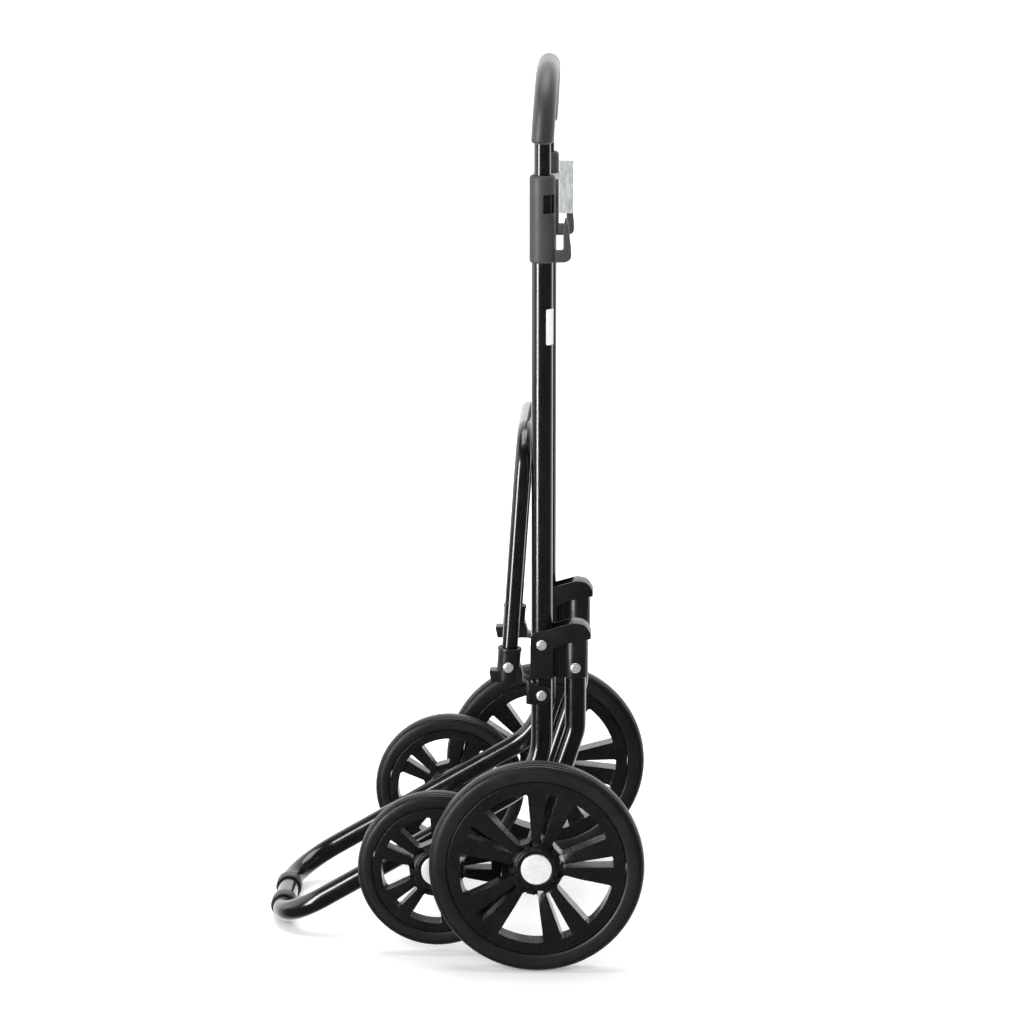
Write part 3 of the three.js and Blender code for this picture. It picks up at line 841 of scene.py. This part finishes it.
def deck_bracket():
    low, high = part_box("deck_bracket_left")
    near, far = low.y, high.y
    rivet = middle("deck_rivet_left")
    rim_z = high.z
    ears = [
        (9.6, -9.4, 9),
        (9.6, 9.4, 9),
        (-6, 11, 4),
        (-19, 18, 6),
        (-22, 30, 3),
        (-43, 30, 3),
        (-44, 24.6, 2),
        (-54.4, 24.8, 1.6),
        (-50.5, 6, 8),
        (-41.5, -2.5, 10),
        (-33, -6.6, 10),
        (-12, -9.8, 8),
    ]
    outline = rounded(shifted(ears, LEG_X, PIVOT_DECK), 0, 7)
    bracket = prism("deck_bracket_left_look", outline, near, far, BRACKET)
    slim = 8.6 * MM
    for side in (-1, 1):
        edge, wide = -LEG_Y + side * slim, -LEG_Y + side * 16 * MM
        plan = [(-70, edge), (-20, edge), (-13, -LEG_Y + side * 13.6 * MM), (-13, wide), (-70, wide)]
        bm = bmesh.new()
        for x, y in plan:
            for z in (PIVOT_DECK - 20 * MM, PIVOT_DECK + 60 * MM):
                bm.verts.new((LEG_X + x * MM, y, z))
        bmesh.ops.convex_hull(bm, input=bm.verts)
        boolean(bracket, [new_object("tool_slim", bm, BRACKET)])
    bevel(bracket, 1 * MM, 3, 30)
    socket_r, base_z = 12.2 * MM, PIVOT_DECK + 5 * MM
    section = [
        (socket_r - 7 * MM, base_z, 2 * MM),
        (socket_r - 0.3 * MM, base_z + 7 * MM, 6 * MM),
        (socket_r - 0.3 * MM, rim_z - 4 * MM, 1 * MM),
        (socket_r + 0.3 * MM, rim_z - 3 * MM, 0.6 * MM),
        (socket_r + 0.3 * MM, rim_z - 0.6 * MM, 0.6 * MM),
        (socket_r - 1.4 * MM, rim_z - 0.2 * MM, 0.6 * MM),
    ]
    profile = [(0, base_z)] + [tuple(p) for p in rounded(section, 0, 3)] + [(0, rim_z - 0.2 * MM)]
    socket = lathe("tool_socket", profile, (rivet.x, -LEG_Y, 0), BRACKET, "Z", 72)
    tilted(socket, rivet, DECK_LEAN)
    boolean(bracket, [socket], "UNION")
    leg_half, swept = TUBE_R + 0.6 * MM, 12.9 * MM
    left_x, right_x = low.x - 5 * MM, high.x + 5 * MM
    floor_z, step_z = low.z - 5 * MM, PIVOT_DECK + swept
    space = [
        (left_x, floor_z),
        (right_x, floor_z),
        (right_x, rim_z + 5 * MM),
        (LEG_X - swept, rim_z + 5 * MM),
        (LEG_X - swept, step_z),
        (left_x, step_z),
    ]
    slot = prism("tool_slot", [Vector(p) for p in space], -LEG_Y - leg_half, -LEG_Y + leg_half, BRACKET)
    bore_r = DECK_R + 0.35 * MM
    top_z = rim_z + 6 * MM
    bore_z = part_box("deck_tube")[0].z - 1 * MM
    bore_profile = [(0, bore_z), (bore_r, bore_z), (bore_r, top_z), (0, top_z)]
    bore = lathe("tool_bore", bore_profile, (rivet.x, -LEG_Y, 0), BRACKET, "Z", 72)
    tilted(bore, rivet, DECK_LEAN)
    boolean(bracket, [slot, bore])
    pair(bracket, "deck_bracket", "platform", "black_plastic")


def foot_sleeves():
    low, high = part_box("foot_sleeve_left")
    outer = (high.z - low.z) / 2
    corners = [(TUBE_R + 0.1 * MM, low.y), (outer, low.y), (outer, high.y), (TUBE_R + 0.1 * MM, high.y)]
    profile = [tuple(p) for p in rounded(corners, 1.6 * MM, 5)]
    sleeve = lathe("foot_sleeve_left_look", profile, (BAR_X, 0, BAR_Z), SLEEVE, sides=72)
    pair(sleeve, "foot_sleeve", "frame", "sleeve_rubber")


def blank_label():
    """A blank film patch that follows the round of the leg, with rounded corners."""
    low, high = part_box("blank_label")
    inner, thick = TUBE_R + 0.15 * MM, 0.35 * MM
    width, height = LABEL_SPAN * TUBE_R, high.z - low.z
    corners = [(0, 0), (width, 0), (width, height), (0, height)]
    outline = rounded(corners, 1.5 * MM, 5)
    strips = 14
    bm = bmesh.new()
    bm.faces.new([bm.verts.new((p[0], 0, p[1])) for p in outline])
    for k in range(1, strips):
        cut = Vector((width * k / strips, 0, 0))
        everything = bm.verts[:] + bm.edges[:] + bm.faces[:]
        bmesh.ops.bisect_plane(bm, geom=everything, plane_co=cut, plane_no=(1, 0, 0))
    extruded = bmesh.ops.extrude_face_region(bm, geom=bm.faces[:])
    moved = [v for v in extruded["geom"] if isinstance(v, bmesh.types.BMVert)]
    for v in moved:
        v.co.y = thick
    for v in bm.verts:
        angle = LABEL_START + v.co.x / TUBE_R
        reach = inner + v.co.y
        v.co = Vector((LEG_X + reach * math.cos(angle), -LEG_Y + reach * math.sin(angle), low.z + v.co.z))
    piece = new_object("blank_label_look", bm, LABEL, 40)
    place(piece, "frame", "white_label", ["blank_label"])


def clear_tag():
    """A clear film pocket, welded at its edges, hung from a band round the right collar."""
    low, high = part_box("clear_tag")
    band_r = LEG_Y - low.y
    panel_y = low.y
    left_x = high.x - TAG_WIDTH
    columns, rows = 12, 40
    middle_y, puff_most, ripple_most, film_half = 0.5 * MM, 0.45 * MM, 0.12 * MM, 0.12 * MM
    bm = bmesh.new()
    grids = []
    for skin in (0, 1):
        grid = []
        for i in range(columns + 1):
            across = i / columns
            line = []
            for j in range(rows + 1):
                up = j / rows
                edge = min(across, 1 - across) * 2, min(up, 1 - up) * 8
                puff = puff_most * min(1, edge[0] * 3) * min(1, edge[1])
                ripple = ripple_most * math.sin(7 * across + 11 * up) * min(1, edge[1])
                y = panel_y + middle_y + ripple + (puff + film_half) * (1 if skin else -1)
                line.append(bm.verts.new((left_x + TAG_WIDTH * across, y, low.z + (high.z - low.z) * up)))
            grid.append(line)
        grids.append(grid)
    for grid in grids:
        for i in range(columns):
            for j in range(rows):
                bm.faces.new((grid[i][j], grid[i + 1][j], grid[i + 1][j + 1], grid[i][j + 1]))
    rim = [(i, 0) for i in range(columns)] + [(columns, j) for j in range(rows)]
    rim += [(i, rows) for i in range(columns, 0, -1)] + [(0, j) for j in range(rows, 0, -1)]
    for (i, j), (k, m) in zip(rim, rim[1:] + rim[:1]):
        bm.faces.new((grids[0][i][j], grids[0][k][m], grids[1][k][m], grids[1][i][j]))
    panel = new_object("clear_tag_look", bm, FILM, 50)
    band_z = (TAG_BAND_Z - TAG_BAND_HALF, TAG_BAND_Z + TAG_BAND_HALF)
    corners = [(band_r - 1 * MM, band_z[0]), (band_r, band_z[0])]
    corners += [(band_r, band_z[1]), (band_r - 1 * MM, band_z[1])]
    profile = [tuple(p) for p in rounded(corners, 0.3 * MM, 3)]
    band = lathe("tag_band_look", profile, (LEG_X, LEG_Y, 0), FILM, "Z", 64)
    strap_y = (panel_y, panel_y + 0.9 * MM)
    strap = block("tag_strap_look", (LEG_X, left_x + 1 * MM), strap_y, band_z, FILM)
    for piece in (panel, band, strap):
        place(piece, "frame", "clear_plastic", ["clear_tag"])


def kept_nodes():
    """Plain small fittings keep their CAD shape and take a finished material."""
    finishes = {"axle_saddle": (BRACKET, "black_plastic"), "handle_plug": (BRACKET, "black_plastic")}
    for base, (material, slot) in finishes.items():
        for side, _ in SIDES:
            node = frame["nodes"][f"{base}_{side}"]
            node.material_slots[0].material = material


# ---- studio ----
WHITE = 1.1  # strength that the camera sees as plain white
GLOW = 0.3  # strength of the floor's own glow under the trolley
GLOW_NEAR, GLOW_FAR = 0.35, 1.6  # distances between which the glow grows from GLOW to WHITE
PAPER_HALF = 30
DARK_SIDE, BRIGHT_SIDE = 0.05, 1.4  # strengths of the surroundings' light, before and behind the trolley
LENS, SENSOR = 147.9, 36
CAMERA_AT = (LEG_X + 94 * MM, -4.326, 1.354)
CAMERA_DOWN = math.radians(11.99)
CAMERA_TURN = math.radians(1.69)


def floor():
    """White paper, which glows away from the trolley, as in an overexposed product shot."""
    bm = bmesh.new()
    for x, y in ((-1, -1), (1, -1), (1, 1), (-1, 1)):
        bm.verts.new((x * PAPER_HALF, y * PAPER_HALF, 0))
    bm.faces.new(bm.verts[:])
    paper = Shader("floor_paper", Emission_Color=(1, 1, 1, 1))
    paper.colour(paper.ramp(paper.noise(3, 2), [(0.3, grey(0.93)), (0.7, grey(0.95))]))
    paper.roughness(paper.spread(paper.noise(3, 2), 0.75, 0.85))
    reach = paper.nodes.new("ShaderNodeVectorMath")
    reach.operation = "LENGTH"
    paper.links.new(paper.where, reach.inputs[0])
    glow = paper.nodes.new("ShaderNodeMapRange")
    glow.interpolation_type = "SMOOTHSTEP"
    glow.inputs["From Min"].default_value = GLOW_NEAR
    glow.inputs["From Max"].default_value = GLOW_FAR
    glow.inputs["To Min"].default_value = GLOW
    glow.inputs["To Max"].default_value = WHITE
    paper.links.new(reach.outputs["Value"], glow.inputs["Value"])
    paper.links.new(glow.outputs["Result"], paper.base.inputs["Emission Strength"])
    sheet = new_object("floor", bm, paper.material)
    sheet.visible_glossy = False


def surroundings():
    """White to the camera. As light, white behind the trolley and dark on the camera's side."""
    world = bpy.data.worlds.new("studio")
    bpy.context.scene.world = world
    world.use_nodes = True
    nodes, links = world.node_tree.nodes, world.node_tree.links
    way = nodes.new("ShaderNodeSeparateXYZ")
    links.new(nodes.new("ShaderNodeTexCoord").outputs["Generated"], way.inputs["Vector"])
    fade = nodes.new("ShaderNodeMapRange")
    fade.inputs["From Min"].default_value = 0.2
    fade.inputs["From Max"].default_value = 0.75
    fade.inputs["To Min"].default_value = DARK_SIDE
    fade.inputs["To Max"].default_value = BRIGHT_SIDE
    links.new(way.outputs["Y"], fade.inputs["Value"])
    strength = nodes.new("ShaderNodeMix")
    strength.inputs["B"].default_value = WHITE
    links.new(nodes.new("ShaderNodeLightPath").outputs["Is Camera Ray"], strength.inputs["Factor"])
    links.new(fade.outputs["Result"], strength.inputs["A"])
    links.new(strength.outputs["Result"], nodes["Background"].inputs["Strength"])
    nodes["Background"].inputs["Color"].default_value = (1, 1, 1, 1)


def lights():
    """Area lamps: a strip for gloss only, a front fill for soft light only, and two that give both."""
    panels = (
        ("left_strip", (-2.2, -2.05, 1.0), (0, 0, 0.9), (0.8, 2.6), 130, "gloss"),
        ("left_fill", (-3.0, 0.4, 1.2), (0, 0, 0.7), (2.4, 2.4), 26, "both"),
        ("overhead", (0, 0.2, 3.2), (0, 0, 0), (2.4, 2.0), 70, "both"),
        ("front_fill", (-0.8, -3.4, 2.4), (0, 0, 0.5), (2.4, 1.6), 80, "diffuse"),
    )
    for name, spot, aim, (width, height), power, use in panels:
        data = bpy.data.lights.new(name, "AREA")
        data.shape = "RECTANGLE"
        data.size, data.size_y, data.energy = width, height, power
        lamp = bpy.data.objects.new(name, data)
        bpy.context.scene.collection.objects.link(lamp)
        lamp.visible_diffuse = use != "gloss"
        lamp.visible_glossy = use != "diffuse"
        lamp.location = spot
        lamp.rotation_euler = (Vector(aim) - Vector(spot)).to_track_quat("-Z", "Y").to_euler()


def camera():
    data = bpy.data.cameras.new("camera")
    data.lens, data.sensor_width = LENS, SENSOR
    view = bpy.data.objects.new("camera", data)
    bpy.context.scene.collection.objects.link(view)
    view.location = CAMERA_AT
    view.rotation_euler = (math.pi / 2 - CAMERA_DOWN, 0, CAMERA_TURN)
    data.clip_start, data.clip_end = 0.1, 100
    bpy.context.scene.camera = view
    bpy.context.scene.view_settings.view_transform = "Standard"


camera()
chassis_tube()
handle()
deck_tube()
rear_tubes()
wheels("big", "rear_leg")
wheels("small", "frame")
for base, body in (
    ("rear_pivot_rivet", "frame"),
    ("deck_pivot_rivet", "frame"),
    ("deck_rivet", "platform"),
    ("rear_rivet", "rear_leg"),
):
    rivets(base, body)
hook_collar()
rear_bracket()
deck_bracket()
foot_sleeves()
blank_label()
clear_tag()
kept_nodes()
floor()
surroundings()
lights()

bpy.context.view_layer.update()
